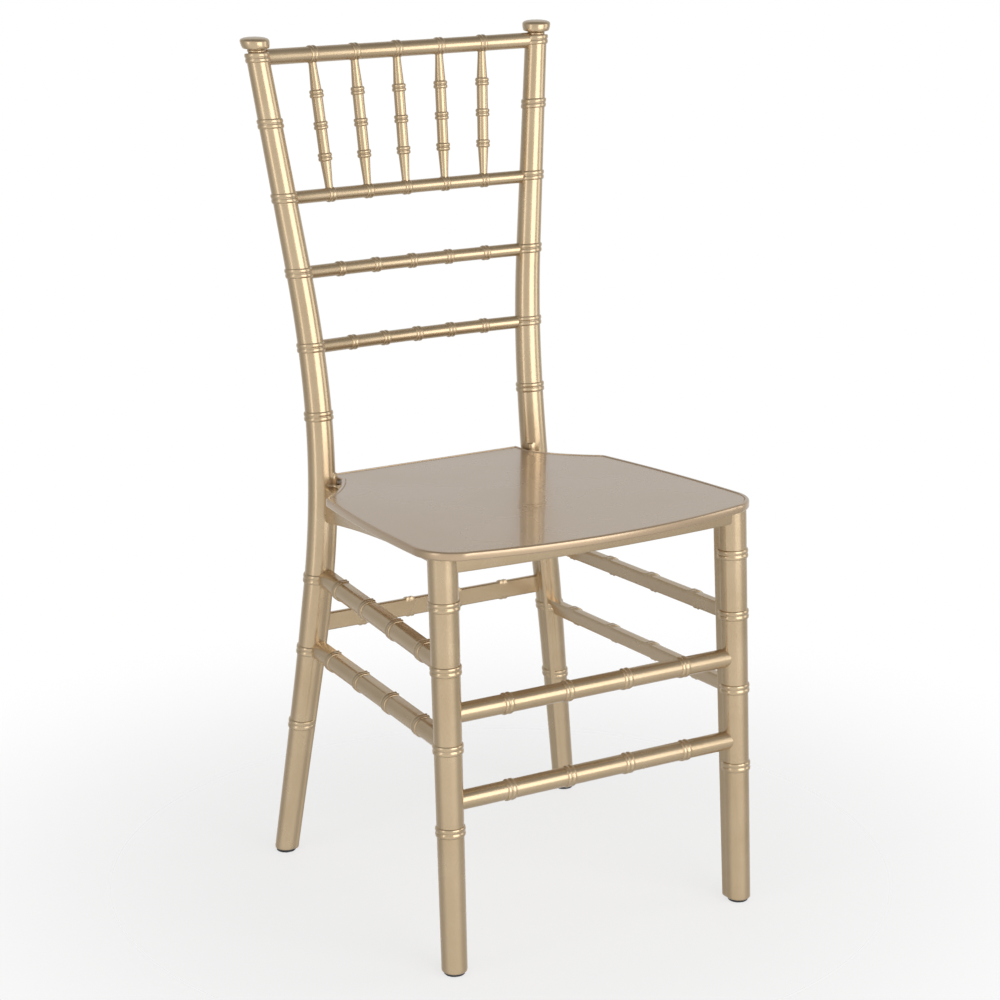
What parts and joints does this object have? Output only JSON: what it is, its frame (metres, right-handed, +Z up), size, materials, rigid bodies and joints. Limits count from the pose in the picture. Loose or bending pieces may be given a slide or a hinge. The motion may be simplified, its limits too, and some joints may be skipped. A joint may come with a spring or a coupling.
{
  "type": "side chair",
  "caption": "Armless side chair with bamboo-ringed legs, a splayed spindle back and a notched flat seat, moulded in gold resin.",
  "frame": {"origin": "on the floor, at the middle of the bounding box in plan", "axes": "+Z up, -Y towards the front of the seat, +X to the right when seen from the front"},
  "size_m": [0.3994, 0.4713, 0.914],
  "materials": {
    "gold_resin": "metallic gold, satin gloss",
    "seat_resin": "metallic gold, high gloss",
    "glide": "matt"
  },
  "bodies": {
    "root": {"rear_post_left": "gold_resin", "rear_post_right": "gold_resin", "front_leg_left": "gold_resin", "front_leg_right": "gold_resin", "seat_panel": "seat_resin", "front_apron": "gold_resin", "rear_apron": "gold_resin", "side_apron_left": "gold_resin", "side_apron_right": "gold_resin", "front_stretcher_upper": "gold_resin", "front_stretcher_lower": "gold_resin", "side_stretcher_upper_left": "gold_resin", "side_stretcher_upper_right": "gold_resin", "side_stretcher_lower_left": "gold_resin", "side_stretcher_lower_right": "gold_resin", "rear_stretcher": "gold_resin", "crest_rail": "gold_resin", "spindle_rail": "gold_resin", "back_rail_upper": "gold_resin", "back_rail_lower": "gold_resin", "spindle_1": "gold_resin", "spindle_2": "gold_resin", "spindle_3": "gold_resin", "spindle_4": "gold_resin", "spindle_5": "gold_resin", "finial_caps": "gold_resin", "foot_glides": "glide"}
  },
  "joints": []
}
